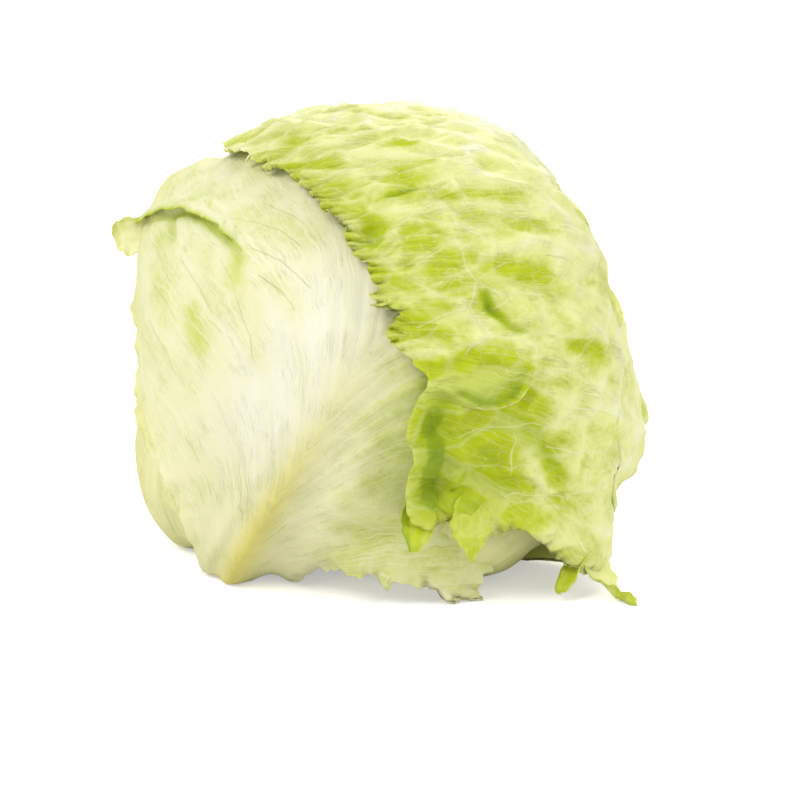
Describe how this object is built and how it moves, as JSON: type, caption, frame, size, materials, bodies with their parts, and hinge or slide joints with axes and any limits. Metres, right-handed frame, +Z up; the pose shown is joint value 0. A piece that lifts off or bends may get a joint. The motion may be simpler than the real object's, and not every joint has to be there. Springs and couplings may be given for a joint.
{
  "type": "iceberg lettuce head",
  "caption": "Whole loose-wrapped round lettuce head lying as picked, with ruffled pale green wrapper leaves over a firm head, heart leaves and a cut stem.",
  "frame": {"origin": "middle of the footprint of the whole head, on the surface it rests on", "axes": "+Z up, +X to the right of the front view, +Y away from the front; the cut stem points down and to the left (-X)"},
  "size_m": [0.1732, 0.1598, 0.1491],
  "materials": {
    "green_leaf": "satin waxy leaf, crisp, veined",
    "pale_leaf": "satin waxy leaf, crisp, veined",
    "head_leaf": "satin waxy leaf",
    "heart_leaf": "satin waxy leaf",
    "stem": "moist cut stem"
  },
  "bodies": {
    "root": {"wrapper_leaf_right": "green_leaf", "wrapper_leaf_front": "pale_leaf", "wrapper_leaf_left": "pale_leaf", "wrapper_leaf_back": "green_leaf", "wrapper_leaf_low": "pale_leaf", "wrapper_leaf_rear_right": "pale_leaf", "head_leaf_1": "head_leaf", "head_leaf_2": "head_leaf", "head_leaf_3": "head_leaf", "head_leaf_4": "head_leaf", "head_leaf_5": "head_leaf", "head_leaf_6": "head_leaf", "heart_leaf_1": "heart_leaf", "heart_leaf_2": "heart_leaf", "heart_leaf_3": "heart_leaf", "heart_leaf_4": "heart_leaf", "heart_leaf_5": "heart_leaf", "stem": "stem"}
  },
  "joints": []
}
